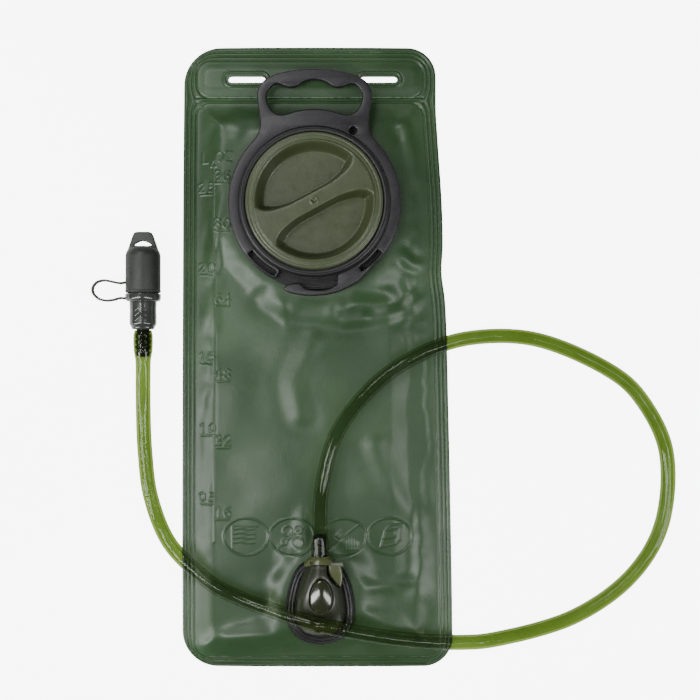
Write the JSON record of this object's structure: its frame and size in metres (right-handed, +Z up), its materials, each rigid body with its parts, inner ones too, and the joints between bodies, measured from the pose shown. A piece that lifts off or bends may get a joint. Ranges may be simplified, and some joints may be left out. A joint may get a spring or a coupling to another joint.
{
  "type": "hydration bladder",
  "caption": "Flat welded-film drinking reservoir with a wide screw-cap fill port and carrying handle, a quick-release outlet, a looped drinking hose and a covered bite valve.",
  "frame": {"origin": "on the underside of the back film, on the fill port's centreline across the pouch and 104 mm below the port's axis, near the middle of the pouch's height", "axes": "+X across the pouch to the right as seen from the front, +Y towards the edge that hangs, +Z up out of the front film, from the surface the pouch lies on"},
  "size_m": [0.3846, 0.4112, 0.0319],
  "materials": {
    "film": "semi-gloss welded soft film, fine orange-peel grain",
    "port_black": "flexible moulded weld flange, satin",
    "handle_black": "stiff moulded plastic, fine texture",
    "cap_olive": "satin moulded plastic",
    "housing_olive": "smooth moulded plastic",
    "button_green": "glossy domed button",
    "khaki": "smooth moulded plastic",
    "hose": "clear tinted flexible tube",
    "valve_grey": "smooth flexible moulding",
    "strap_grey": "soft moulded strap",
    "silicone": "soft translucent silicone",
    "seal_black": "smooth O-ring",
    "steel": "bright drawn wire"
  },
  "bodies": {
    "pouch": {"back_film": "film", "front_film": "film", "fill_port": "port_black", "handle_ring": "handle_black", "outlet_flange": "port_black", "outlet_housing": "housing_olive", "hose_loop": "hose"},
    "cap_seal": {"cap_gasket": "silicone"},
    "cap": {"screw_cap": "cap_olive"},
    "button": {"release_button": "button_green", "button_spring": "steel"},
    "poppet": {"valve_poppet": "khaki", "poppet_spring": "steel"},
    "plug": {"plug_stem": "handle_black", "plug_o_ring": "seal_black", "plug_collar": "khaki", "lever_pin": "steel", "hose_plug_end": "hose"},
    "lever": {"release_lever": "khaki"},
    "drink_end": {"hose_drink_end": "hose", "valve_stem": "handle_black", "stem_o_ring": "seal_black"},
    "bite_valve": {"shutoff_sleeve": "valve_grey", "mouthpiece": "silicone"},
    "tether": {"tether_ring": "valve_grey", "tether_strap": "strap_grey"},
    "cover": {"dust_cover": "valve_grey"}
  },
  "joints": [
    {"name": "cap_lift", "type": "slide", "parent": "pouch", "child": "cap_seal", "axis": [0, 0, 1], "range_m": [0, 0.0151]},
    {"name": "cap_turn", "type": "hinge", "parent": "cap_seal", "child": "cap", "pos_m": [0, 0.1, 0.02], "axis": [0, 0, 1], "range_deg": [0, 540]},
    {"name": "button_press", "type": "slide", "parent": "pouch", "child": "button", "axis": [0, 0, -1], "range_m": [0, 0.0012], "deforming": ["button_spring"]},
    {"name": "plug_pull", "type": "slide", "parent": "pouch", "child": "plug", "axis": [0, 1, 0], "range_m": [0, 0.022], "deforming": ["hose_plug_end"]},
    {"name": "poppet_close", "type": "slide", "parent": "pouch", "child": "poppet", "axis": [0, 1, 0], "range_m": [0, 0.0023], "deforming": ["poppet_spring"]},
    {"name": "lever_press", "type": "hinge", "parent": "plug", "child": "lever", "pos_m": [0.0136, -0.1358, 0.0165], "axis": [0, 0, -1], "range_deg": [0, 7]},
    {"name": "hose_lift", "type": "hinge", "parent": "pouch", "child": "drink_end", "pos_m": [-0.1125, -0.064, 0.00495], "axis": [1, 0, 0], "range_deg": [0, 60]},
    {"name": "valve_twist", "type": "hinge", "parent": "drink_end", "child": "bite_valve", "pos_m": [-0.1124, 0.03, 0.0117], "axis": [0, 1, 0], "range_deg": [0, 90]},
    {"name": "tether_swivel", "type": "hinge", "parent": "bite_valve", "child": "tether", "pos_m": [-0.1124, 0.0378, 0.0117], "axis": [0, 1, 0], "range_deg": [0, 90]},
    {"name": "cover_pull", "type": "slide", "parent": "tether", "child": "cover", "axis": [0, 1, 0], "range_m": [0, 0.03], "deforming": ["tether_strap"]}
  ],
  "couplings": [
    {"joint": "cap_lift", "follows": "cap_turn", "m_per_rad": 0.0015915},
    {"joint": "poppet_close", "follows": "plug_pull", "ratio": 0.1}
  ]
}
